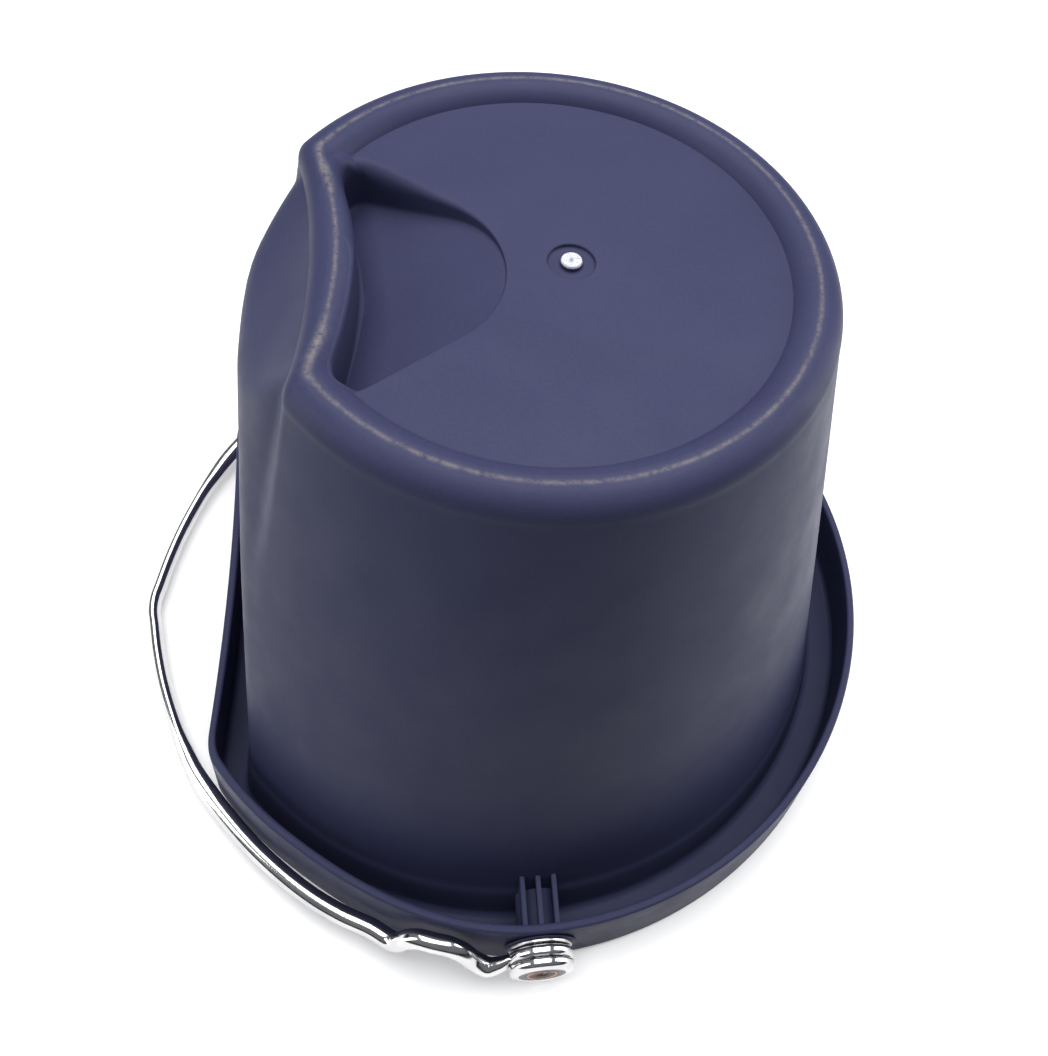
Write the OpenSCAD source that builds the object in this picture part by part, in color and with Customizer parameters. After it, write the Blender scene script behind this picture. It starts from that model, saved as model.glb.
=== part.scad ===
// Flat-sided stable bucket with a steel bail, standing upside down on its rim.
// Z = 0 is the plane the rim rests in and the Z axis is the axis of the round wall.
// The pressed-in side faces -X, and the bail swings on two studs on the -Y and +Y sides.

/* [Bucket] */
// Outer radius of the rim
rim_r = 170; // [150:1:190]
// Height from the rim plane to the crest of the foot ring
bucket_h = 248.5; // [230:0.5:270]
// Radius of the round wall, carried down to the rim plane
wall_rim_r = 153; // [148:1:155]
// Radius of the round wall under the foot ring
wall_base_r = 105; // [100:1:110]
// Thickness of the moulding
wall_t = 3; // [2.5:0.1:3.5]
// Height of the stacking step above the rim plane
step_h = 22; // [16:1:26]
// How far the stacking step stands out
step_out = 1; // [0.5:0.5:3]

/* [Collar] */
// Height of the turned-back collar
collar_h = 36; // [32:1:42]
// Thickness of the collar and of the rim flange
collar_t = 3.6; // [3:0.1:4]
// How much the collar leans in over its height
collar_lean = 1; // [0.5:0.1:2]
// How far the collar steps in beside the pressed-in side, to make room for the bail
collar_in = 8; // [6:0.5:9]
// Distance of the collar's flat side from the axis
collar_flat = 134.5; // [132:0.5:138]

/* [Pressed-in side] */
// Distance of the wall's flat side from the axis, at the rim plane
flat_x = 118.4; // [114:0.2:120]
// Lean of the flat side, in degrees
flat_tilt = 2.75; // [2:0.25:3.5]
// Radius of its shallow hollow
flat_r = 1200; // [900:50:2000]
// Radius of the scoop under the foot ring
scoop_r = 195.5; // [190:0.5:200]

/* [Foot ring and floor] */
// Radius of the ring's crest
crest_r = 95.2; // [90:0.2:98]
// Radius of the ring's round section
bead_r = 9.7; // [8:0.1:10.5]
// Distance of the hollow side's crest from the axis
hollow_x = 71.9; // [68:0.1:76]
// Radius of the hollow side's crest line
hollow_r = 170; // [150:5:220]
// Depth of the floor panel below the crest
floor_drop = 5.4; // [4:0.1:6]
// Depth of the grip pocket at its deep side
pocket_deep = 22; // [14:1:26]

/* [Bail] */
// Diameter of the bail rod
rod_d = 7.8; // [7:0.1:8.2]
// Height of the bail's pivot above the rim plane
pivot_z = 19; // [17:0.5:22]
// Angle that the bail hangs below level, in degrees
bail_drop = 4.5; // [3.5:0.1:4.8]
// Diameter of the pivot studs
stud_d = 8; // [6:0.5:8]
// Diameter of the stud heads
head_d = 27; // [24:0.5:28]

/* [Hidden] */
$fn = 96;

navy = [0.20, 0.21, 0.33];
steel = [0.75, 0.76, 0.78];
badge_blue = [0.06, 0.08, 0.14];

// The foot ring's crest carries a narrow flat land, so its round section is set a little high
crest_land = 0.3;
bead_z = bucket_h - bead_r + crest_land;
floor_z = bucket_h - floor_drop;
bead_end = 180 - asin((floor_z - bead_z) / bead_r);
wall_slope = (wall_rim_r - wall_base_r) / bead_z;

// Centre of the scoop's sphere
scoop_x = 238;
scoop_z = bucket_h + 108.5;

// Turn past the studs over which the collar steps in, in degrees
collar_turn = 40;
collar_hollow_r = 1400;

// Softness of the edges where the pressed-in side meets the round one
wall_blend = 5;
scoop_blend = 4;
crest_blend = 6;
collar_blend = 12;

// Points round each ring of the shell, and heights of the wall's rings
around = 108;
wall_heights = [234, 229, 223, 216, 208, 198, 180, 150, 110, 70, step_h + 4];

// Pocket outline: a nose circle towards the middle, two corner circles by the foot ring, and a side
// that follows the ring's hollow crest
pocket_nose = [-52, 0, 37];
pocket_corner = [-66, 46, 6];
pocket_y = -3;
pocket_side = 5.9;
pocket_apex_x = pocket_nose[0] + pocket_nose[2];
pocket_apex_deep = 1.2;
pocket_slope = atan((pocket_deep - pocket_apex_deep) / (pocket_apex_x - pocket_corner[0] + pocket_corner[2]));

// Gate stub in its round well
gate_x = 8;
gate_well_r = 8.5;
gate_stub_r = 4;
gate_well_deep = 1.6;

// Stack on each pivot, measured along Y from the axis
pad_y = rim_r;
pad_r = 14.6;
washer_t = 1.2;
washer_d = 26;
play = 0.3;
eye_t = 5;
eye_d = 26.6;
eye_clear = 0.05;
eye_y = pad_y + washer_t + play + eye_t / 2;
head_y = eye_y + eye_t / 2 + play;
head_t = 4.2;
badge_d = 19;
badge_t = 1;
shank_end = 157;
boss_r = 9;
rib_t = 2;
rib_gap = 6.5;
rib_z = 33;
ear_fill_end = 151.2;

// Bail centre line from one eye to the middle of the grip: distance from the pivot axis, distance
// from the mid plane, height above the plane that the bail lies in, then the half sizes of the
// section across and along the swing
rod_r = rod_d / 2;
grip = [3, 4.9];
bail_half = [
    [8, eye_y, 0, 2.4, rod_r], [12, eye_y, 0, 2.4, rod_r], [17, 175, -1, 3.2, rod_r],
    [22, 175, -2, rod_r, rod_r], [27, 172.8, 1.5, rod_r, rod_r], [31, 170.6, 7, rod_r, rod_r],
    [36, 168.7, 11, rod_r, rod_r], [42, 166.9, 12, rod_r, rod_r], [48, 164.8, 11.5, rod_r, rod_r],
    [53, 163.6, 8, rod_r, rod_r], [57, 162.9, 2.5, rod_r, rod_r], [61, 160.9, 0, rod_r, rod_r],
    [68.4, 155.8, 0, rod_r, rod_r], [80.7, 149.2, 0, rod_r, rod_r], [93, 141, 0, rod_r, rod_r],
    [105.8, 130.3, 0, rod_r, rod_r], [119, 117.3, 0, rod_r, rod_r], [132.8, 101, 0, rod_r, rod_r],
    [143.8, 86, 0, rod_r, rod_r], [150, 74.5, 0, 3.6, 4.2], [155.5, 62, 0, grip[0], grip[1]],
    [163, 42, 0, grip[0], grip[1]], [167.8, 25, 0, grip[0], grip[1]],
    [170.8, 11, 0, grip[0], grip[1]], [172.3, 3.5, 0, grip[0], grip[1]]
];
bail_points = concat(bail_half, [for (i = [len(bail_half) - 1:-1:0])
    let (p = bail_half[i]) [p[0], -p[1], p[2], p[3], p[4]]]);
bail_steps = 2;
bail_sides = 12;

// Catmull-Rom curve through a list of points
function at(p, i) = p[max(0, min(len(p) - 1, i))];
function curve_point(a, b, c, d, t) = 0.5 * (2 * b + (c - a) * t + (2 * a - 5 * b + 4 * c - d) * t * t
    + (3 * b - a - 3 * c + d) * t * t * t);
function smooth(p, n) = concat([for (i = [0:len(p) - 2]) for (k = [0:n - 1])
    curve_point(at(p, i - 1), p[i], p[i + 1], at(p, i + 2), k / n)], [p[len(p) - 1]]);

// One ring of the rod: the section turned square to the centre line
function unit(v) = v / norm(v);
function heading(p, i) = let (d = at(p, i + 1) - at(p, i - 1)) unit([-d[0], d[1], d[2]]);
function ring(p, i) = let (ahead = heading(p, i), side = unit(cross(ahead, [0, 0, 1])),
    up = cross(side, ahead)) [for (k = [0:bail_sides - 1]) let (a = k * 360 / bail_sides)
    [-p[i][0], p[i][1], p[i][2]] + side * p[i][3] * cos(a) + up * p[i][4] * sin(a)];

module swept_rod(points) {
    path = smooth(points, bail_steps);
    rings = len(path);
    n = bail_sides;
    corners = [for (i = [0:rings - 1]) each ring(path, i)];
    sides = [for (i = [0:rings - 2]) for (k = [0:n - 1])
        let (a = i * n + k, b = i * n + (k + 1) % n)
        each [[a, b, b + n], [a, b + n, a + n]]];
    caps = [[for (k = [n - 1:-1:0]) k], [for (k = [0:n - 1]) (rings - 1) * n + k]];
    polyhedron(points = corners, faces = concat(sides, caps), convexity = 6);
}

// Distance from the axis to the shell's outlines, in the direction phi
function soft_min(a, b, soft) = let (h = max(soft - abs(a - b), 0) / soft)
    min(a, b) - h * h * soft / 4;
function hollow(phi, x, r) = let (c = x + r, d = r * r - pow(c * sin(phi), 2))
    cos(phi) < 0 && d > 0 ? -c * cos(phi) - sqrt(d) : 999;
function scoop(phi, z) = let (d = pow(scoop_r, 2) - pow(z - scoop_z, 2))
    d > 0 ? hollow(phi, scoop_x - sqrt(d), sqrt(d)) : 999;
function wall(phi, z) = let (
    cone = wall_rim_r - wall_slope * z + (z > step_h ? 0 : step_out),
    flat = hollow(phi, flat_x - z * tan(flat_tilt) + (z > step_h ? 0 : step_out), flat_r))
    soft_min(soft_min(cone, flat, wall_blend), scoop(phi, z), scoop_blend);
function crest(phi) = soft_min(crest_r, hollow(phi, hollow_x, hollow_r), crest_blend);
function quarter(phi) = let (t = min(1, asin(abs(cos(phi))) / collar_turn))
    rim_r - collar_in * t * t * (3 - 2 * t);
function rim(phi) = soft_min(cos(phi) > 0 ? rim_r : quarter(phi),
    hollow(phi, collar_flat, collar_hollow_r), collar_blend);

// Rings of the shell's surface
function polar(r, phi, z) = [r * cos(phi), r * sin(phi), z];
function turns() = [for (i = [0:around - 1]) i * 360 / around];
function bead_ring(r, t) = [for (p = turns()) polar(crest(p) + r * cos(t), p, bead_z + r * sin(t))];
function wall_ring(inset, z) = [for (p = turns()) polar(wall(p, z) - inset, p, z)];
function rim_ring(inset, z) = [for (p = turns()) polar(rim(p) - inset, p, z)];

// From the middle of the floor over the foot ring, down the wall, round the collar, and up inside
below = -1;
shell_rings = concat(
    [for (k = [0:8]) bead_ring(bead_r, bead_end * (1 - k / 9))],
    [for (z = wall_heights) wall_ring(0, z)],
    [wall_ring(0, step_h - 1), wall_ring(0, collar_t + 1), wall_ring(-1.5, collar_t)],
    [rim_ring(collar_t + 2, collar_t), rim_ring(collar_t, collar_t + 2)],
    [rim_ring(collar_t + collar_lean, collar_h - 0.8), rim_ring(collar_t + collar_lean - 0.8, collar_h)],
    [rim_ring(collar_lean + 0.8, collar_h), rim_ring(collar_lean, collar_h - 0.8)],
    [rim_ring(0, 3), rim_ring(0.9, 0.9), rim_ring(2.5, 0), rim_ring(3.5, below)],
    [wall_ring(wall_t - 3, below), wall_ring(wall_t - 2, 0.6), wall_ring(wall_t, 3)],
    [for (k = [len(wall_heights) - 1:-1:0]) wall_ring(wall_t, wall_heights[k])],
    [for (k = [0:5]) bead_ring(bead_r - wall_t, bead_end * k / 5)]
);

module shell_surface() {
    n = around;
    rings = len(shell_rings);
    corners = concat([for (r = shell_rings) each r], [[0, 0, floor_z], [0, 0, floor_z - wall_t]]);
    top = rings * n;
    sides = [for (i = [0:rings - 2]) for (k = [0:n - 1])
        let (a = i * n + k, b = i * n + (k + 1) % n)
        each [[a, b, b + n], [a, b + n, a + n]]];
    caps = [for (k = [0:n - 1])
        each [[top, (k + 1) % n, k], [top + 1, (rings - 1) * n + k, (rings - 1) * n + (k + 1) % n]]];
    polyhedron(points = corners, faces = concat(sides, caps), convexity = 8);
}

module pocket(grow) {
    intersection() {
        translate([0, 0, floor_z - 50]) linear_extrude(grow > 0 ? 49 : 60) difference() {
            translate([0, pocket_y]) hull() {
                translate([pocket_nose[0], 0]) circle(pocket_nose[2] + grow, $fn = 64);
                for (side = [-1, 1])
                    translate([pocket_corner[0], side * pocket_corner[1]])
                        circle(pocket_corner[2] + grow, $fn = 32);
            }
            translate([-hollow_x - hollow_r, 0]) circle(hollow_r + pocket_side - grow, $fn = 192);
        }
        translate([pocket_apex_x, 0, floor_z - pocket_apex_deep - grow * 1.1]) rotate([0, -pocket_slope, 0])
            translate([-150, -100, 0]) cube([300, 200, 60]);
    }
}

module gate() {
    translate([gate_x, 0, floor_z - gate_well_deep]) difference() {
        cylinder(r = gate_well_r, h = gate_well_deep + 1, $fn = 48);
        translate([0, 0, -1]) cylinder(r = gate_stub_r, h = gate_well_deep + 3, $fn = 32);
    }
}

// Flat pad under the washer, boss for the stud and the three ribs that tie it to the wall
module ear() {
    mid_wall = wall_rim_r - wall_t / 2;
    step_mid = mid_wall - wall_slope * step_h;
    translate([0, -pad_y, pivot_z]) rotate([-90, 0, 0]) cylinder(r = pad_r, h = 5, $fn = 64);
    translate([0, -pad_y, pivot_z]) rotate([-90, 0, 0]) cylinder(r = boss_r, h = 20, $fn = 48);
    translate([-rib_gap, -rim_r + 3, 1]) cube([2 * rib_gap, rim_r - 3 - ear_fill_end, pivot_z - 1]);
    for (i = [-1:1])
        translate([i * rib_gap - rib_t / 2, 0, 0]) rotate([90, 0, 90]) linear_extrude(rib_t)
            polygon([[-rim_r + 2, 1], [-rim_r + 3.5, rib_z],
                     [-mid_wall + wall_slope * rib_z, rib_z], [-step_mid + 1, step_h + 4],
                     [-step_mid - step_out, step_h], [-mid_wall - step_out, 1]]);
}

module bucket_shell() {
    color(navy) difference() {
        union() {
            shell_surface();
            ear();
            mirror([0, 1, 0]) ear();
            pocket(wall_t);
        }
        translate([-200, -200, below - 20]) cube([400, 400, 20 - below]);
        translate([-120, -120, bucket_h]) cube([240, 240, 20]);
        pocket(0);
        gate();
        for (side = [-1, 1])
            translate([0, side * (rim_r + 2), pivot_z]) rotate([side * 90, 0, 0])
                cylinder(d = stud_d, h = rim_r + 2 - shank_end, $fn = 48);
    }
}

// Ring of the eye with rounded edges and a true bore
module eye() {
    bore_r = stud_d / 2 + eye_clear;
    edge = 1.2;
    r = eye_d / 2;
    h = eye_t / 2;
    translate([0, eye_y, 0]) rotate([90, 0, 0]) rotate_extrude($fn = 96)
        polygon([[bore_r, -h], [r - edge, -h], [r, -h + edge], [r, h - edge], [r - edge, h],
                 [bore_r, h]]);
}

module bail_handle() {
    color(steel) translate([0, 0, pivot_z]) rotate([0, -bail_drop, 0]) {
        difference() {
            swept_rod(bail_points);
            for (side = [-1, 1])
                translate([0, side * eye_y, 0]) rotate([90, 0, 0])
                    cylinder(r = eye_d / 2 - 2, h = 20, center = true, $fn = 48);
        }
        eye();
        mirror([0, 1, 0]) eye();
    }
}

// Shouldered stud: shank, domed head and the recess of its badge
module stud() {
    dome = 1.6;
    r = head_d / 2;
    color(steel) translate([0, -head_y, pivot_z]) rotate([90, 0, 0]) {
        translate([0, 0, shank_end + 0.5 - head_y])
            cylinder(d = stud_d, h = head_y - shank_end, $fn = 48);
        difference() {
            rotate_extrude($fn = 96)
                polygon([[0, 0], [r - 0.8, 0], [r, 0.8], [r, head_t - 1.8], [r - 0.7, head_t - 0.9],
                         [r - dome - 0.6, head_t - 0.1], [badge_d / 2 + 0.8, head_t], [0, head_t]]);
            translate([0, 0, head_t - badge_t]) cylinder(d = badge_d, h = 2, $fn = 64);
        }
    }
}

module washer() {
    color(steel) translate([0, -pad_y, pivot_z]) rotate([90, 0, 0]) difference() {
        cylinder(d = washer_d, h = washer_t, $fn = 64);
        translate([0, 0, -1]) cylinder(d = stud_d + 0.4, h = washer_t + 2, $fn = 48);
    }
}

module badge() {
    color(badge_blue) translate([0, -head_y - head_t + badge_t, pivot_z]) rotate([90, 0, 0])
        cylinder(d = badge_d - 0.1, h = badge_t - 0.2, $fn = 64);
}

module front_stud() { stud(); }
module rear_stud() { mirror([0, 1, 0]) stud(); }
module front_washer() { washer(); }
module rear_washer() { mirror([0, 1, 0]) washer(); }
module front_badge() { badge(); }
module rear_badge() { mirror([0, 1, 0]) badge(); }

bucket_shell();
bail_handle();
front_stud();
rear_stud();
front_washer();
rear_washer();
front_badge();
rear_badge();
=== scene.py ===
import math

import bmesh
import bpy
import numpy as np
from mathutils import Matrix, Vector


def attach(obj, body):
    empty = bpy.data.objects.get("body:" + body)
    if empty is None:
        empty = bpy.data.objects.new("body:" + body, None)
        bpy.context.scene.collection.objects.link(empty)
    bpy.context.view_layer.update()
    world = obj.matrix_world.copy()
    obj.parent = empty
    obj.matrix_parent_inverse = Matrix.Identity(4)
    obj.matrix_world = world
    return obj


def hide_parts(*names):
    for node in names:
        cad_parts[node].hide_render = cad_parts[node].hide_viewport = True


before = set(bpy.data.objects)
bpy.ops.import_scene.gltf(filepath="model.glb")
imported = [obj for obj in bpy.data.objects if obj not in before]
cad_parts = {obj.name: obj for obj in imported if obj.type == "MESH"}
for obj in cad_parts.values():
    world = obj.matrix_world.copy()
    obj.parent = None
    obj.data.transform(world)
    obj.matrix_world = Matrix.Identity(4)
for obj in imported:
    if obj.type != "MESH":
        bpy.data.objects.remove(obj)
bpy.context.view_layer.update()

# Sizes are in millimetres, as on a drawing, and become metres where a mesh is made.
MM = 0.001

# Bucket: outlines shared with the CAD model
RIM_R = 170
BUCKET_H = 248.5
WALL_RIM_R = 153
WALL_BASE_R = 105
WALL_T = 3
STEP_H = 22
STEP_OUT = 1
COLLAR_H = 36
COLLAR_T = 3.6
COLLAR_LEAN = 1
COLLAR_IN = 8
COLLAR_TURN = math.radians(40)
COLLAR_FLAT = 134.5
COLLAR_HOLLOW_R = 1400
FLAT_X = 118.4
FLAT_TILT = math.radians(2.75)
FLAT_R = 1200
SCOOP_R = 195.5
SCOOP_X = 238
SCOOP_Z = BUCKET_H + 108.5
WALL_BLEND = 5
SCOOP_BLEND = 4
CREST_BLEND = 4
COLLAR_BLEND = 5
EASE_LENGTH = 110
CREST_R = 95.2
BEAD_R = 9.7
HOLLOW_X = 71.9
HOLLOW_R = 170
FLOOR_Z = BUCKET_H - 5.4
BEAD_Z = BUCKET_H - BEAD_R + 0.3
WALL_SLOPE = (WALL_RIM_R - WALL_BASE_R) / BEAD_Z

# Grip pocket: a nose circle, two corner circles, and the wall that follows the foot ring
NOSE = (-52, 0, 37)
CORNER = (-66, 46, 6)
POCKET_Y = -3
POCKET_SIDE = 5.9
POCKET_MIDDLE = np.array([-45.0, POCKET_Y])
APEX_X = NOSE[0] + NOSE[2]
APEX_DEEP = 1.2
POCKET_DEEP = 22

# Gate stub in its round well
GATE_X = 8
GATE_WELL_R = 8.5
GATE_STUB_R = 4
GATE_DEEP = 1.6

# Bail and its pivots
ROD_R = 3.9
PIVOT_Z = 19
BAIL_DROP = math.radians(4.5)
STUD_R = 4
PAD_Y = RIM_R
PAD_R = 14.6
WASHER_T = 1.2
WASHER_R = 13
PLAY = 0.3
EYE_T = 5
EYE_R = 13.3
EYE_Y = PAD_Y + WASHER_T + PLAY + EYE_T / 2
HEAD_Y = EYE_Y + EYE_T / 2 + PLAY
HEAD_R = 13.5
HEAD_T = 4.2
BADGE_R = 9.5
BADGE_T = 1
SHANK_END = 157
BOSS_R = 9
RIB_T = 2
RIB_GAP = 6.5
RIB_Z = 33

AROUND = 540


# Camera at the photograph's viewing angle
def aim_camera():
    azimuth = math.radians(-15)
    elevation = math.radians(50.85)
    roll = math.radians(10.7)
    level = math.cos(elevation)
    back = Vector((math.sin(azimuth) * level, -math.cos(azimuth) * level, math.sin(elevation)))
    right = Vector((0, 0, 1)).cross(back).normalized()
    up = back.cross(right)
    x_axis = math.cos(roll) * right + math.sin(roll) * up
    y_axis = -math.sin(roll) * right + math.cos(roll) * up
    data = bpy.data.cameras.new("camera")
    data.lens = 39.13
    data.sensor_width = 36
    data.shift_x = -0.072
    data.shift_y = -0.140
    data.clip_start = 0.01
    camera = bpy.data.objects.new("camera", data)
    bpy.context.scene.collection.objects.link(camera)
    turn = Matrix((x_axis, y_axis, back)).transposed().to_4x4()
    place = Vector((-48.305, -277.504, 528.668)) * MM
    camera.matrix_world = Matrix.Translation(place) @ turn
    bpy.context.scene.camera = camera


aim_camera()


# Shader helpers
class Shader:
    """A Principled material with named helper calls for its procedural inputs."""

    def __init__(self, name):
        self.material = bpy.data.materials.new(name)
        self.material.use_nodes = True
        self.nodes = self.material.node_tree.nodes
        self.links = self.material.node_tree.links
        self.surface = self.nodes["Principled BSDF"]
        self.place = self.nodes.new("ShaderNodeTexCoord").outputs["Object"]

    def noise(self, scale, detail=3, rough=0.5, stretch=None, distortion=0):
        node = self.nodes.new("ShaderNodeTexNoise")
        node.inputs["Scale"].default_value = scale
        node.inputs["Detail"].default_value = detail
        node.inputs["Roughness"].default_value = rough
        node.inputs["Distortion"].default_value = distortion
        source = self.place
        if stretch:
            mapping = self.nodes.new("ShaderNodeMapping")
            mapping.inputs["Scale"].default_value = stretch
            self.links.new(self.place, mapping.inputs["Vector"])
            source = mapping.outputs["Vector"]
        self.links.new(source, node.inputs["Vector"])
        return node.outputs["Fac"]

    def ramp(self, factor, stops):
        node = self.nodes.new("ShaderNodeValToRGB")
        band = node.color_ramp
        while len(band.elements) < len(stops):
            band.elements.new(0.5)
        for element, (at, colour) in zip(band.elements, stops):
            element.position = at
            element.color = (*colour, 1) if hasattr(colour, "__len__") else (colour, colour, colour, 1)
        self.links.new(factor, node.inputs["Fac"])
        return node.outputs["Color"]

    def mix(self, factor, a, b, blend="MIX"):
        node = self.nodes.new("ShaderNodeMix")
        node.data_type = "RGBA"
        node.blend_type = blend
        # The node has several inputs of one name, so the colour ones are taken by number
        self.feed(node.inputs[0], factor)
        self.feed(node.inputs[6], a)
        self.feed(node.inputs[7], b)
        return node.outputs[2]

    def feed(self, socket, value):
        if isinstance(value, bpy.types.NodeSocket):
            self.links.new(value, socket)
        elif hasattr(value, "__len__"):
            socket.default_value = (*value, 1)
        else:
            socket.default_value = value

    def math(self, operation, a, b=0.0, clamp=False):
        node = self.nodes.new("ShaderNodeMath")
        node.operation = operation
        node.use_clamp = clamp
        for socket, value in zip(node.inputs, (a, b)):
            self.feed(socket, value)
        return node.outputs["Value"]

    def attribute(self, name):
        node = self.nodes.new("ShaderNodeAttribute")
        node.attribute_name = name
        return node.outputs["Fac"]

    def bump(self, height, strength, distance, under=None):
        node = self.nodes.new("ShaderNodeBump")
        node.inputs["Strength"].default_value = strength
        node.inputs["Distance"].default_value = distance
        self.links.new(height, node.inputs["Height"])
        if under:
            self.links.new(under, node.inputs["Normal"])
        return node.outputs["Normal"]

    def set(self, **sockets):
        for name, value in sockets.items():
            self.feed(self.surface.inputs[name.replace("_", " ")], value)


def navy_plastic():
    """Moulded polyethylene: waxy, faintly mottled, rubbed pale along the crest of the foot ring."""
    s = Shader("navy_plastic")
    flow = s.noise(9, 4, 0.6, (1, 1, 0.35), 0.6)
    base = s.ramp(flow, [(0.3, (0.033, 0.036, 0.082)), (0.7, (0.040, 0.043, 0.094))])
    speck = s.noise(900, 2, 0.7)
    base = s.mix(s.ramp(speck, [(0.42, 0.0), (0.75, 0.22)]), base, (0.060, 0.062, 0.11))
    rub_grain = s.ramp(s.noise(420, 6, 0.75), [(0.34, 0.1), (0.60, 1.0)])
    rub = s.math("MULTIPLY", s.attribute("wear"), rub_grain)
    scuff_grain = s.ramp(s.noise(120, 7, 0.8), [(0.5, 0.0), (0.75, 0.5)])
    scuff = s.math("MULTIPLY", s.attribute("handled"), scuff_grain)
    worn = s.math("ADD", rub, scuff, clamp=True)
    s.set(Base_Color=s.mix(worn, base, (0.17, 0.155, 0.165)))
    dull = s.ramp(s.noise(45, 5, 0.65), [(0.3, 0.40), (0.7, 0.52)])
    s.set(Roughness=s.mix(worn, dull, (0.75, 0.75, 0.75)))
    grain = s.bump(s.noise(2600, 2, 0.6), 0.12, 0.0002)
    wave = s.bump(s.noise(28, 2, 0.4), 0.10, 0.002, grain)
    s.set(Normal=s.bump(worn, 0.25, 0.0002, wave))
    s.set(IOR=1.5)
    s.surface.inputs["Specular IOR Level"].default_value = 0.09
    return s.material


def polished_steel():
    """Bright drawn rod, with fine handling scratches."""
    s = Shader("polished_steel")
    tone = s.noise(60, 4, 0.6)
    s.set(Base_Color=s.ramp(tone, [(0.3, (0.60, 0.60, 0.62)), (0.7, (0.76, 0.75, 0.74))]))
    s.set(Metallic=1.0)
    scratch = s.noise(420, 5, 0.7, distortion=1.5)
    s.set(Roughness=s.ramp(scratch, [(0.35, 0.10), (0.7, 0.22)]))
    fine = s.bump(s.noise(1500, 3, 0.6), 0.06, 0.0001)
    s.set(Normal=s.bump(s.noise(120, 2, 0.5), 0.10, 0.0004, fine))
    return s.material


def brushed_washer():
    """Duller turned steel of the washers."""
    s = Shader("brushed_washer")
    tone = s.noise(90, 4, 0.6)
    s.set(Base_Color=s.ramp(tone, [(0.3, (0.50, 0.50, 0.52)), (0.7, (0.62, 0.62, 0.62))]))
    s.set(Metallic=1.0)
    s.set(Roughness=s.ramp(s.noise(600, 4, 0.7), [(0.3, 0.22), (0.7, 0.36)]))
    s.set(Normal=s.bump(s.noise(1100, 3, 0.6), 0.12, 0.0001))
    return s.material


def dark_enamel():
    """Dark filling of the inlay disc."""
    s = Shader("dark_enamel")
    tone = s.noise(300, 3, 0.6)
    s.set(Base_Color=s.ramp(tone, [(0.3, (0.012, 0.013, 0.022)), (0.7, (0.022, 0.023, 0.036))]))
    s.set(Roughness=s.ramp(s.noise(700, 3, 0.6), [(0.3, 0.22), (0.7, 0.34)]))
    s.set(Normal=s.bump(s.noise(900, 2, 0.5), 0.08, 0.0001))
    return s.material


def copper_ring():
    """Thin raised ring in the inlay disc."""
    s = Shader("copper_ring")
    s.set(Base_Color=s.ramp(s.noise(400, 3, 0.6), [(0.3, (0.55, 0.22, 0.11)), (0.7, (0.68, 0.30, 0.17))]))
    s.set(Metallic=1.0)
    s.set(Roughness=s.ramp(s.noise(800, 3, 0.6), [(0.3, 0.25), (0.7, 0.38)]))
    s.set(Normal=s.bump(s.noise(1200, 2, 0.5), 0.08, 0.0001))
    return s.material


def stub_painted_highlight():
    """Torn plastic of the gate stub, its streaks painted near-white as a painted highlight of the glossy cut
    face.
    """
    s = Shader("stub_painted_highlight")
    streak = s.noise(500, 4, 0.7, (1, 3, 1), 2)
    # The pale end of this ramp is a painted highlight, not the plastic's own colour
    s.set(Base_Color=s.ramp(streak, [(0.35, (0.20, 0.20, 0.30)), (0.55, (0.72, 0.72, 0.80))]))
    s.set(Roughness=s.ramp(streak, [(0.3, 0.25), (0.7, 0.45)]))
    s.set(Normal=s.bump(streak, 0.5, 0.0006))
    return s.material


NAVY = navy_plastic()
STEEL = polished_steel()
WASHER = brushed_washer()
ENAMEL = dark_enamel()
COPPER = copper_ring()
SHEARED_HIGHLIGHT = stub_painted_highlight()


# Mesh helpers
def make_mesh(name, points, faces):
    mesh = bpy.data.meshes.new(name)
    mesh.from_pydata((np.asarray(points, float) * MM).tolist(), [], [list(map(int, f)) for f in faces])
    work = bmesh.new()
    work.from_mesh(mesh)
    bmesh.ops.remove_doubles(work, verts=work.verts, dist=0.02 * MM)
    bmesh.ops.dissolve_degenerate(work, edges=work.edges, dist=0.01 * MM)
    bmesh.ops.recalc_face_normals(work, faces=work.faces)
    work.to_mesh(mesh)
    work.free()
    piece = bpy.data.objects.new(name, mesh)
    bpy.context.scene.collection.objects.link(piece)
    return piece


def rings_to_faces(rings, around, closed):
    """Quads between rings of points, and around the whole list again where it is closed."""
    count = rings if closed else rings - 1
    faces = []
    for i in range(count):
        below = i * around
        above = ((i + 1) % rings) * around
        for k in range(around):
            after = (k + 1) % around
            faces.append((below + k, below + after, above + after, above + k))
    return faces


def combine(piece, tool, operation):
    step = piece.modifiers.new(operation.lower(), "BOOLEAN")
    step.operation = operation
    step.solver = "EXACT"
    step.object = tool
    result = bpy.data.meshes.new_from_object(piece.evaluated_get(bpy.context.evaluated_depsgraph_get()))
    piece.modifiers.clear()
    old = piece.data
    piece.data = result
    bpy.data.meshes.remove(old)
    bpy.data.objects.remove(tool)


def finish_piece(piece, body, materials, nodes, sharp=35):
    piece.data.materials.clear()
    for material in materials:
        piece.data.materials.append(material)
    piece.data.shade_smooth()
    piece.data.set_sharp_from_angle(angle=math.radians(sharp))
    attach(piece, body)
    if nodes:
        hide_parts(*nodes)


def arc(middle, radius, start, end, steps):
    """Points on a circular arc, angles in degrees."""
    angles = np.radians(np.linspace(start, end, steps + 1))
    return [(middle[0] + radius * math.cos(a), middle[1] + radius * math.sin(a)) for a in angles]


def lathe(name, profile, steps=96):
    """A closed outline of (radius, height) points turned about the Z axis."""
    angles = np.linspace(0, 2 * math.pi, steps, endpoint=False)
    points = [(r * math.cos(a), r * math.sin(a), z) for r, z in profile for a in angles]
    return make_mesh(name, points, rings_to_faces(len(profile), steps, True))


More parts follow.
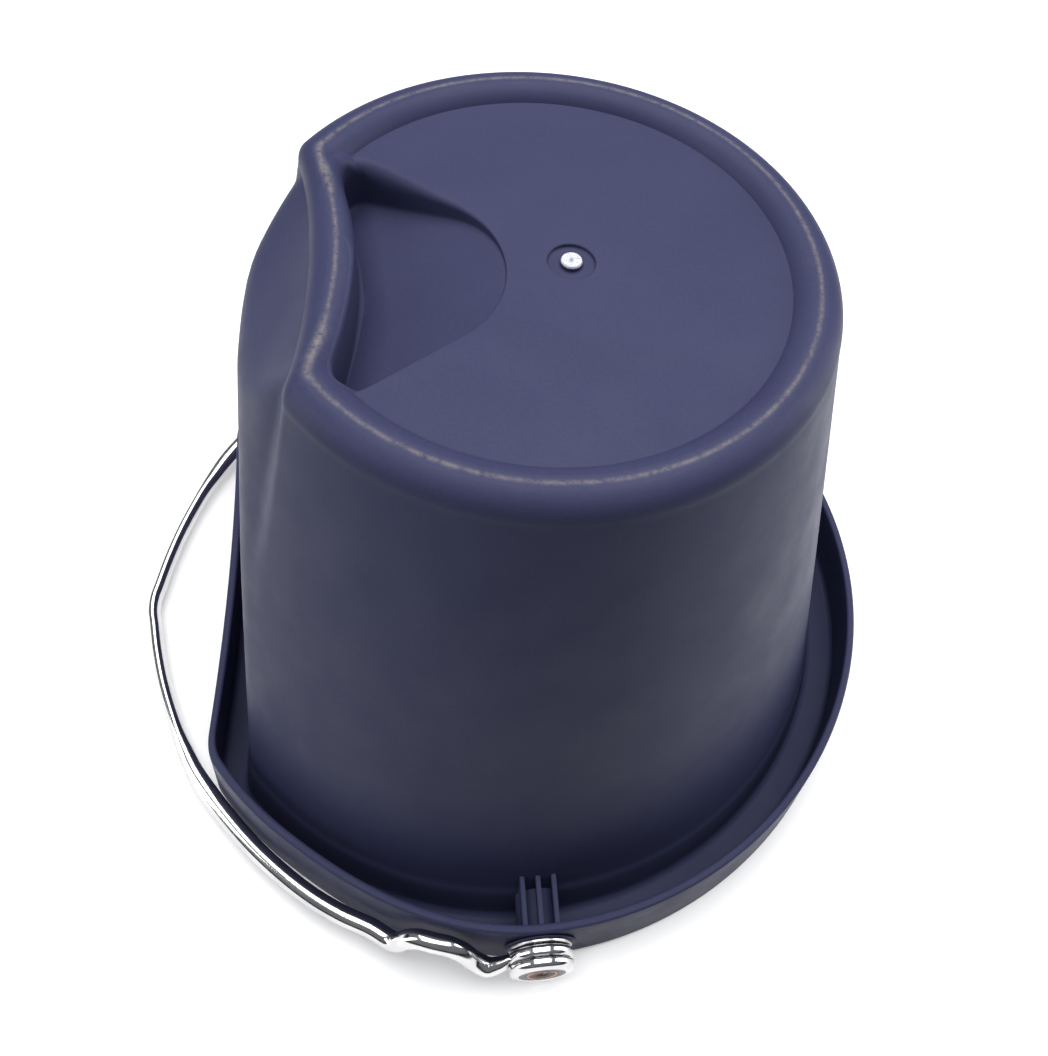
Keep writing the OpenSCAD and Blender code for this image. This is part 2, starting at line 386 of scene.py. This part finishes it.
def face_side(piece, side, y):
    """Turns a lathed piece so that its axis points out along Y, and puts its base at y."""
    turn = Matrix.Rotation(math.radians(90), 4, "X")
    if side > 0:
        turn = Matrix.Rotation(math.radians(-90), 4, "X")
    piece.data.transform(Matrix.Translation((0, side * y * MM, PIVOT_Z * MM)) @ turn)


# Outlines of the shell: distance from the axis in the direction phi
def soft_min(a, b, soft):
    h = np.maximum(soft - np.abs(a - b), 0) / soft
    return np.minimum(a, b) - h * h * soft / 4


def smooth_step(t):
    return t * t * (3 - 2 * t)


def hollow(phi, x, r):
    """A circle of radius r pressed in from the -X side to the distance x."""
    c = x + r
    d = r * r - (c * np.sin(phi)) ** 2
    reach = -c * np.cos(phi) - np.sqrt(np.maximum(d, 0))
    return np.where((np.cos(phi) < 0) & (d > 0), reach, 999)


def scoop(phi, z):
    """The ball that hollows out the top of the pressed-in side, cut at the height z."""
    if abs(z - SCOOP_Z) >= SCOOP_R:
        return np.full_like(phi, 999)
    r = math.sqrt(SCOOP_R ** 2 - (z - SCOOP_Z) ** 2)
    return hollow(phi, SCOOP_X - r, r)


def wall(phi, z):
    edge = np.clip((STEP_H + 3 - z) / 6, 0, 1)
    out = STEP_OUT * smooth_step(edge)
    cone = WALL_RIM_R - WALL_SLOPE * z + out
    flat = hollow(phi, FLAT_X - z * math.tan(FLAT_TILT) + out, FLAT_R)
    return soft_min(soft_min(cone, flat, WALL_BLEND), scoop(phi, z), SCOOP_BLEND)


def crest(phi):
    return soft_min(CREST_R, hollow(phi, HOLLOW_X, HOLLOW_R), CREST_BLEND)


def eased_wall(phi, z):
    """The wall, eased onto the foot ring's outline over its top part."""
    near = np.clip(1 - (BEAD_Z - z) / EASE_LENGTH, 0, 1)
    gap = crest(phi) + BEAD_R - wall(phi, BEAD_Z)
    return wall(phi, z) + gap * smooth_step(near)


def rim(phi):
    turn = np.clip(np.arcsin(np.abs(np.cos(phi))) / COLLAR_TURN, 0, 1)
    quarter = RIM_R - COLLAR_IN * smooth_step(turn)
    round_part = np.where(np.cos(phi) > 0, RIM_R, quarter)
    return soft_min(round_part, hollow(phi, COLLAR_FLAT, COLLAR_HOLLOW_R), COLLAR_BLEND)


PHI = (np.arange(AROUND) + 0.5) * 2 * math.pi / AROUND
OUT = np.stack([np.cos(PHI), np.sin(PHI)], 1)


def polar(r, z):
    return np.column_stack([OUT * np.reshape(r, (-1, 1)), np.broadcast_to(z, AROUND)])


def wall_ring(inset, z):
    return polar(eased_wall(PHI, z) - inset, z)


def rim_ring(inset, z):
    return polar(rim(PHI) - inset, z)


# Pocket outline, as the outermost reach in every direction of three circles
def pocket_normals():
    normals = list(np.linspace(-math.pi, math.pi, 720, endpoint=False))
    for side in (-1, 1):
        step = np.array([CORNER[0] - NOSE[0], side * CORNER[1]])
        lean = math.acos((NOSE[2] - CORNER[2]) / np.hypot(*step))
        normals.append(math.atan2(step[1], step[0]) - side * lean)
    return np.array([[math.cos(a), math.sin(a)] for a in normals])


NORMALS = pocket_normals()
CIRCLES = [(NOSE[0], POCKET_Y, NOSE[2]), *((CORNER[0], POCKET_Y + s * CORNER[1], CORNER[2]) for s in (-1, 1))]
SUPPORT = np.max([NORMALS @ c[:2] + c[2] for c in CIRCLES], 0)
RING_SIDE = np.array([-HOLLOW_X - HOLLOW_R, 0])


def pocket_outside(points, grow):
    """How far points lie outside the pocket outline grown by grow; negative inside."""
    hull = np.max(points @ NORMALS.T - SUPPORT, 1)
    side = HOLLOW_R + POCKET_SIDE - np.hypot(*(points - RING_SIDE).T)
    return -soft_min(-hull, -side, 3) - grow


def pocket_reach(ways, grow):
    """Distance from the pocket's middle to its outline in each direction."""
    near = np.zeros(len(ways))
    far = np.full(len(ways), 110.0)
    for _ in range(22):
        middle = (near + far) / 2
        outside = pocket_outside(POCKET_MIDDLE + ways * middle[:, None], grow) > 0
        far = np.where(outside, middle, far)
        near = np.where(outside, near, middle)
    return near


def pocket_floor_z(x, sink):
    slope = (POCKET_DEEP - APEX_DEEP) / (APEX_X - CORNER[0] + CORNER[2])
    return np.minimum(FLOOR_Z - APEX_DEEP - (APEX_X - x) * slope, FLOOR_Z - APEX_DEEP) - sink


def floor_rings(bead_r, level, grow, lip_most):
    """Rings from the middle of the pocket over the panel and the foot ring to the ring's outer side."""
    end = math.pi - math.asin((level - BEAD_Z) / bead_r)
    crease = OUT * (crest(PHI) + bead_r * math.cos(end))[:, None]
    ways = crease - POCKET_MIDDLE
    reach = np.hypot(*ways.T)
    ways = ways / reach[:, None]
    floor_guess = pocket_floor_z(POCKET_MIDDLE[0] + ways[:, 0] * pocket_reach(ways, grow), grow)
    deep = level - floor_guess
    far_side = np.clip(ways[:, 1] * 1.6, 0, 1) ** 2
    lip = np.clip(0.22 * deep * (0.3 + far_side), 0.5, lip_most)
    edge = pocket_reach(ways, grow + lip)
    on_panel = edge < reach

    low = np.zeros(AROUND)
    high = np.full(AROUND, end)
    for _ in range(22):
        middle = (low + high) / 2
        inside = pocket_outside(OUT * (crest(PHI) + bead_r * np.cos(middle))[:, None], grow + lip) < 0
        high = np.where(inside, middle, high)
        low = np.where(inside, low, middle)
    start = np.where(on_panel, end, low)
    on_bead = OUT * (crest(PHI) + bead_r * np.cos(start))[:, None]
    rim_point = np.where(on_panel[:, None], POCKET_MIDDLE + ways * edge[:, None], on_bead)
    rim_z = np.where(on_panel, level, np.minimum(BEAD_Z + bead_r * np.sin(start), BUCKET_H))

    ways = rim_point - POCKET_MIDDLE
    ways = ways / np.hypot(*ways.T)[:, None]
    at_wall = pocket_reach(ways, grow)
    at_lip = np.hypot(*(rim_point - POCKET_MIDDLE).T)
    floor_wall = pocket_floor_z(POCKET_MIDDLE[0] + ways[:, 0] * at_wall, grow)
    fillet = np.clip(0.2 * (rim_z - floor_wall), 0.3, 1.6)
    draft = np.clip(0.03 * (rim_z - floor_wall), 0, 0.6)
    at_floor = at_wall - draft - fillet

    def ring(distance, z):
        return np.column_stack([POCKET_MIDDLE + ways * distance[:, None], z])

    rings = []
    for share in np.linspace(0.02, 1, 16):
        distance = at_floor * share
        rings.append(ring(distance, pocket_floor_z(POCKET_MIDDLE[0] + ways[:, 0] * distance, grow)))
    floor_edge = pocket_floor_z(POCKET_MIDDLE[0] + ways[:, 0] * at_floor, grow)
    for a in np.radians([22, 45, 68, 90]):
        rings.append(ring(at_floor + fillet * math.sin(a), floor_edge + fillet * (1 - math.cos(a))))
    wall_low = floor_edge + fillet
    wall_high = np.maximum(rim_z - (at_lip - at_wall), wall_low)
    for share in (0.3, 0.65, 1):
        rings.append(ring(at_floor + fillet + draft * share, wall_low + (wall_high - wall_low) * share))
    for a in np.radians([12, 24, 36, 48, 60, 70, 80, 90]):
        out = (at_lip - at_wall) * (1 - math.cos(a))
        rings.append(ring(at_wall + out, wall_high + (rim_z - wall_high) * math.sin(a)))
    for share in np.linspace(0, 1, 15)[1:]:
        point = np.where(on_panel[:, None], rim_point + (crease - rim_point) * share, rim_point)
        rings.append(np.column_stack([point, rim_z]))
    for share in np.linspace(0, 1, 53)[1:]:
        t = start * (1 - share)
        height = np.minimum(BEAD_Z + bead_r * np.sin(t), BUCKET_H)
        rings.append(polar(crest(PHI) + bead_r * np.cos(t), height))
    return rings


def shell_surface():
    """The whole skin of the moulding: floor, foot ring, wall, channel, collar, rim and the inside."""
    rings = floor_rings(BEAD_R, FLOOR_Z, 0, 4.5)
    rings += [wall_ring(0, z) for z in np.linspace(BEAD_Z, STEP_H + 2, 92)[1:]]
    rings += [wall_ring(0, STEP_H + z) for z in (1.2, 0.8, 0.5, 0.25, 0, -0.25, -0.5, -0.8, -1.2, -4)]
    rings += [wall_ring(0, 12), wall_ring(0, COLLAR_T + 5)]
    rings += [wall_ring(inset, z) for inset, z in arc((-2.5, COLLAR_T + 2.5), 2.5, 0, -90, 5)]
    rings += [rim_ring(inset, z) for inset, z in arc((COLLAR_T + 2.5, COLLAR_T + 2.5), 2.5, -90, -180, 5)]
    lean = COLLAR_T + COLLAR_LEAN
    rings += [rim_ring(COLLAR_T + COLLAR_LEAN * z / COLLAR_H, z) for z in (12, 20, 28)]
    rings += [rim_ring(inset, z) for inset, z in arc((lean - 1.2, COLLAR_H - 1.2), 1.2, 0, 90, 5)]
    rings += [rim_ring(inset, z) for inset, z in arc((COLLAR_LEAN + 1.2, COLLAR_H - 1.2), 1.2, 90, 180, 5)]
    rings += [rim_ring(COLLAR_LEAN * z / COLLAR_H, z) for z in (28, 20, 12, 5)]
    rings += [rim_ring(inset, z) for inset, z in arc((2.6, 2.6), 2.6, 180, 270, 6)]
    rings += [wall_ring(inset, z) for inset, z in arc((WALL_T - 2.4, 2.4), 2.4, -90, 0, 5)]
    rings += [wall_ring(WALL_T, z) for z in (12, 18, STEP_H - 1, STEP_H, STEP_H + 1)]
    rings += [wall_ring(WALL_T, z) for z in np.linspace(STEP_H + 4, BEAD_Z, 48)]
    rings += floor_rings(BEAD_R - WALL_T, FLOOR_Z - WALL_T, WALL_T, 1.0)[::-1]

    count = len(rings)
    points = np.concatenate(rings + [[[*POCKET_MIDDLE, pocket_floor_z(POCKET_MIDDLE[0], 0)]],
                                     [[*POCKET_MIDDLE, pocket_floor_z(POCKET_MIDDLE[0], WALL_T)]]])
    faces = rings_to_faces(count, AROUND, False)
    top = count * AROUND
    last = (count - 1) * AROUND
    for k in range(AROUND):
        after = (k + 1) % AROUND
        faces.append((top, after, k))
        faces.append((top + 1, last + k, last + after))
    return make_mesh("bucket", points, faces)


def ear_tools(side):
    """The pad under the washer, the boss behind it and the three ribs that tie it to the wall."""
    pad = lathe("pad", [(0.01, 0), *arc((PAD_R - 0.5, 4.5), 0.5, 0, 90, 4), (0.01, 5)])
    face_side(pad, side, PAD_Y - 5)
    boss = lathe("boss", [(0.01, 0), (BOSS_R, 0), (BOSS_R, 19), (0.01, 19)], 64)
    face_side(boss, side, PAD_Y - 20)
    tools = [pad, boss]
    wall_at = [(z, WALL_RIM_R - WALL_T / 2 - WALL_SLOPE * z) for z in (1, STEP_H + 1, RIB_Z)]
    outline = [(RIM_R - 2, 1), (RIM_R - 2.6, RIB_Z - 1), (RIM_R - 3.4, RIB_Z), (wall_at[2][1] + 1, RIB_Z),
               (wall_at[2][1], RIB_Z - 1), (wall_at[1][1], wall_at[1][0]), (wall_at[0][1], 1)]
    for i in (-1, 0, 1):
        slices = []
        for x, trim in ((-RIB_T / 2, 0.35), (-RIB_T / 2 + 0.35, 0), (RIB_T / 2 - 0.35, 0), (RIB_T / 2, 0.35)):
            slices.append([(i * RIB_GAP + x, side * y, min(z, RIB_Z - trim)) for y, z in outline])
        sides = rings_to_faces(len(slices), len(outline), False)
        caps = [list(range(len(outline))), list(range(3 * len(outline), 4 * len(outline)))]
        tools.append(make_mesh("rib", [p for ring in slices for p in ring], sides + caps))
    return tools


def gate_cutter():
    """What the round well takes out of the panel, leaving the gate stub in its middle."""
    low = FLOOR_Z - GATE_DEEP
    profile = [(GATE_STUB_R, FLOOR_Z + 1), *arc((GATE_STUB_R + 0.4, low + 0.4), 0.4, 180, 270, 4),
               *arc((GATE_WELL_R - 0.6, low + 0.6), 0.6, -90, 0, 4), (GATE_WELL_R, FLOOR_Z - 0.3),
               (GATE_WELL_R + 0.3, FLOOR_Z), (GATE_WELL_R + 0.3, FLOOR_Z + 1)]
    cutter = lathe("gate_cutter", profile)
    cutter.data.transform(Matrix.Translation((GATE_X * MM, 0, 0)))
    return cutter


def mark_wear(piece):
    """Where the foot ring's crest and the edges of the grip rub on the ground."""
    mesh = piece.data
    place = np.zeros(len(mesh.vertices) * 3)
    mesh.vertices.foreach_get("co", place)
    x, y, z = place.reshape(-1, 3).T / MM
    phi = np.arctan2(y, x)
    off_crest = np.abs(np.hypot(x, y) - crest(phi))
    high = np.clip((z - BUCKET_H + 4) / 3, 0, 1)
    corner = np.exp(-((np.abs(phi) - math.radians(152)) / 0.10) ** 2)
    wear = high * np.exp(-(off_crest / (0.8 + 1.2 * corner)) ** 2) * (0.8 + 0.2 * corner)
    handled = high * np.exp(-(off_crest / 5) ** 2) * (0.1 + 0.7 * corner)
    for name, value in (("wear", wear), ("handled", handled)):
        attribute = mesh.attributes.new(name, "FLOAT", "POINT")
        attribute.data.foreach_set("value", value.astype(np.float32))


def build_bucket():
    shell = shell_surface()
    combine(shell, gate_cutter(), "DIFFERENCE")
    for side in (-1, 1):
        for tool in ear_tools(side):
            combine(shell, tool, "UNION")
    mark_wear(shell)
    finish_piece(shell, "bucket", [NAVY], ["bucket_shell"], 32)


def build_gate_stub():
    """Sheared face of the gate stub, made bright by a painted highlight, standing a little proud of the
    panel.
    """
    profile = [(0.01, 0), (GATE_STUB_R - 0.3, 0), (GATE_STUB_R - 0.2, 0.5),
               *arc((GATE_STUB_R - 0.9, 0.7), 0.6, 0, 90, 4), (1.6, 1.15), (0.01, 1.0)]
    stub = lathe("gate_stub", profile, 64)
    stub.data.transform(Matrix.Translation((GATE_X * MM, 0, (FLOOR_Z - 0.3) * MM)))
    finish_piece(stub, "bucket", [SHEARED_HIGHLIGHT], [])


# Bail: centre line from an eye to the middle of the grip, as distance from the pivot axis, distance
# from the mid plane, height above the bail's plane, and the half sizes of the section across and
# along the swing
GRIP = (3, 4.9)
BAIL_HALF = [
    (8, EYE_Y, 0, 2.4, ROD_R), (12, EYE_Y, 0, 2.4, ROD_R), (17, 175, -1, 3.2, ROD_R),
    (22, 175, -2, ROD_R, ROD_R), (27, 172.8, 1.5, ROD_R, ROD_R), (31, 170.6, 7, ROD_R, ROD_R),
    (36, 168.7, 11, ROD_R, ROD_R), (42, 166.9, 12, ROD_R, ROD_R), (48, 164.8, 11.5, ROD_R, ROD_R),
    (53, 163.6, 8, ROD_R, ROD_R), (57, 162.9, 2.5, ROD_R, ROD_R), (61, 160.9, 0, ROD_R, ROD_R),
    (68.4, 155.8, 0, ROD_R, ROD_R), (80.7, 149.2, 0, ROD_R, ROD_R), (93, 141, 0, ROD_R, ROD_R),
    (105.8, 130.3, 0, ROD_R, ROD_R), (119, 117.3, 0, ROD_R, ROD_R), (132.8, 101, 0, ROD_R, ROD_R),
    (143.8, 86, 0, ROD_R, ROD_R), (150, 74.5, 0, 3.6, 4.2), (155.5, 62, 0, *GRIP),
    (163, 42, 0, *GRIP), (167.8, 25, 0, *GRIP), (170.8, 11, 0, *GRIP), (172.3, 3.5, 0, *GRIP)
]
BAIL_STEPS = 10
BAIL_SIDES = 32


def smooth_curve(points, steps):
    """Catmull-Rom curve through the points."""
    p = np.array([points[0], *points, points[-1]], float)
    out = []
    for i in range(len(points) - 1):
        a, b, c, d = p[i:i + 4]
        for t in np.arange(steps) / steps:
            out.append(0.5 * (2 * b + (c - a) * t + (2 * a - 5 * b + 4 * c - d) * t ** 2
                              + (3 * b - a - 3 * c + d) * t ** 3))
    return np.array(out + [p[-1]])


def bail_rod():
    mirrored = [(u, -y, w, across, along) for u, y, w, across, along in BAIL_HALF[::-1]]
    path = smooth_curve(BAIL_HALF + mirrored, BAIL_STEPS)
    middle = path[:, :3] * (-1, 1, 1)
    ahead = np.gradient(middle, axis=0)
    ahead = ahead / np.linalg.norm(ahead, axis=1)[:, None]
    side = np.cross(ahead, (0, 0, 1))
    side = side / np.linalg.norm(side, axis=1)[:, None]
    up = np.cross(side, ahead)
    points = []
    for a in np.linspace(0, 2 * math.pi, BAIL_SIDES, endpoint=False):
        points.append(middle + side * path[:, 3:4] * math.cos(a) + up * path[:, 4:5] * math.sin(a))
    points = np.stack(points, 1).reshape(-1, 3)
    count = len(path)
    faces = rings_to_faces(count, BAIL_SIDES, False)
    faces += [list(range(BAIL_SIDES)), list(range((count - 1) * BAIL_SIDES, count * BAIL_SIDES))]
    return make_mesh("bail", points, faces)


def build_bail():
    bail = bail_rod()
    half = EYE_T / 2
    bore = STUD_R + 0.05
    for side in (-1, 1):
        profile = [*arc((bore + 0.5, -half + 0.5), 0.5, 180, 270, 4),
                   *arc((EYE_R - 2, -half + 2), 2, -90, 0, 8),
                   *arc((EYE_R - 2, half - 2), 2, 0, 90, 8),
                   *arc((bore + 0.5, half - 0.5), 0.5, 90, 180, 4)]
        eye = lathe("eye", profile)
        place = Matrix.Translation((0, side * EYE_Y * MM, 0))
        eye.data.transform(place @ Matrix.Rotation(math.pi / 2, 4, "X"))
        combine(bail, eye, "UNION")
    tilt = Matrix.Translation((0, 0, PIVOT_Z * MM)) @ Matrix.Rotation(-BAIL_DROP, 4, "Y")
    bail.data.transform(tilt)
    finish_piece(bail, "bail", [STEEL], ["bail_handle"], 40)


def build_pivot(side, name):
    """Stud, washer and inlay disc of one side."""
    low = SHANK_END - HEAD_Y
    stud = lathe(name + "_stud_piece", [
        (0.01, low), (STUD_R - 0.6, low), (STUD_R, low + 0.6), (STUD_R, -0.3), (STUD_R + 0.3, 0),
        *arc((HEAD_R - 0.8, 0.8), 0.8, -90, 0, 5), *arc((HEAD_R - 2.2, HEAD_T - 2.4), 2.2, 0, 66, 8),
        (BADGE_R + 0.5, HEAD_T), (BADGE_R, HEAD_T - 0.25), (BADGE_R, HEAD_T - BADGE_T),
        (0.01, HEAD_T - BADGE_T)])
    face_side(stud, side, HEAD_Y)
    finish_piece(stud, "bucket", [STEEL], [name + "_stud"])

    washer = lathe(name + "_washer_piece", [
        (STUD_R + 0.2, 0), (WASHER_R - 0.3, 0), (WASHER_R, 0.3), (WASHER_R, WASHER_T - 0.3),
        (WASHER_R - 0.3, WASHER_T), (STUD_R + 0.2, WASHER_T)])
    face_side(washer, side, PAD_Y)
    finish_piece(washer, "bucket", [WASHER], [name + "_washer"])

    disc_r = BADGE_R - 0.05
    disc = lathe(name + "_badge_disc", [
        (0.01, 0), (disc_r, 0), (disc_r, 0.6), (disc_r - 0.2, 0.75), (0.01, 0.8)])
    face_side(disc, side, HEAD_Y + HEAD_T - BADGE_T)
    finish_piece(disc, "bucket", [ENAMEL], [name + "_badge"])

    ring_r = 0.62 * disc_r
    ring = lathe(name + "_badge_ring", arc((ring_r, 0.74), 0.24, 0, 330, 11))
    face_side(ring, side, HEAD_Y + HEAD_T - BADGE_T)
    finish_piece(ring, "bucket", [COPPER], [])


def build_floor():
    """Pale studio floor, wide enough to fill every view."""
    size = 3.0
    mesh = bpy.data.meshes.new("studio_floor")
    mesh.from_pydata([(-size, -size, -0.0008), (size, -size, -0.0008), (size, size, -0.0008),
                      (-size, size, -0.0008)], [], [(0, 1, 2, 3)])
    floor = bpy.data.objects.new("studio_floor", mesh)
    bpy.context.scene.collection.objects.link(floor)
    s = Shader("studio_floor")
    s.set(Base_Color=s.ramp(s.noise(3, 2, 0.5), [(0.3, (0.90, 0.90, 0.90)), (0.7, (0.92, 0.92, 0.92))]))
    s.surface.inputs["Roughness"].default_value = 0.9
    s.surface.inputs["Emission Color"].default_value = (1, 1, 1, 1)
    s.surface.inputs["Emission Strength"].default_value = 0.2
    mesh.materials.append(s.material)
    floor.visible_diffuse = False


def softbox(name, at, towards, size, power):
    data = bpy.data.lights.new(name, "AREA")
    data.shape = "RECTANGLE"
    data.size = size[0]
    data.size_y = size[1]
    data.energy = power
    light = bpy.data.objects.new(name, data)
    bpy.context.scene.collection.objects.link(light)
    aim = (Vector(towards) - Vector(at)).to_track_quat("-Z", "Y")
    light.matrix_world = Matrix.Translation(at) @ aim.to_matrix().to_4x4()


def light_scene():
    world = bpy.data.worlds.new("studio")
    world.use_nodes = True
    world.node_tree.nodes["Background"].inputs["Color"].default_value = (0.9, 0.93, 1.0, 1)
    world.node_tree.nodes["Background"].inputs["Strength"].default_value = 0.20
    bpy.context.scene.world = world
    bpy.context.scene.view_settings.view_transform = "Standard"
    middle = (0, 0, 0.15)
    softbox("overhead", (0.0, 0.25, 1.6), middle, (1.7, 1.6), 38)
    softbox("left_strip", (-1.2, -0.15, 0.45), middle, (0.35, 1.3), 8)
    softbox("right_strip", (1.2, 0.10, 0.40), middle, (0.30, 1.3), 11)
    dark_cards()


def dark_cards():
    """Black screens round the set, out of shot, that keep the sides dark and give the steel its contrast."""
    steps = 48
    points = []
    for z in (0, 0.55):
        for a in np.linspace(0, 2 * math.pi, steps, endpoint=False):
            points.append((1.9 * math.cos(a), 1.9 * math.sin(a), z))
    mesh = bpy.data.meshes.new("dark_cards")
    mesh.from_pydata(points, [], rings_to_faces(2, steps, False))
    cards = bpy.data.objects.new("dark_cards", mesh)
    bpy.context.scene.collection.objects.link(cards)
    s = Shader("dark_cards")
    s.surface.inputs["Base Color"].default_value = (0.02, 0.02, 0.02, 1)
    s.surface.inputs["Roughness"].default_value = 1.0
    mesh.materials.append(s.material)
    cards.visible_camera = False
    cards.visible_shadow = False


build_bucket()
build_gate_stub()
build_bail()
for where, label in ((-1, "front"), (1, "rear")):
    build_pivot(where, label)
build_floor()
light_scene()
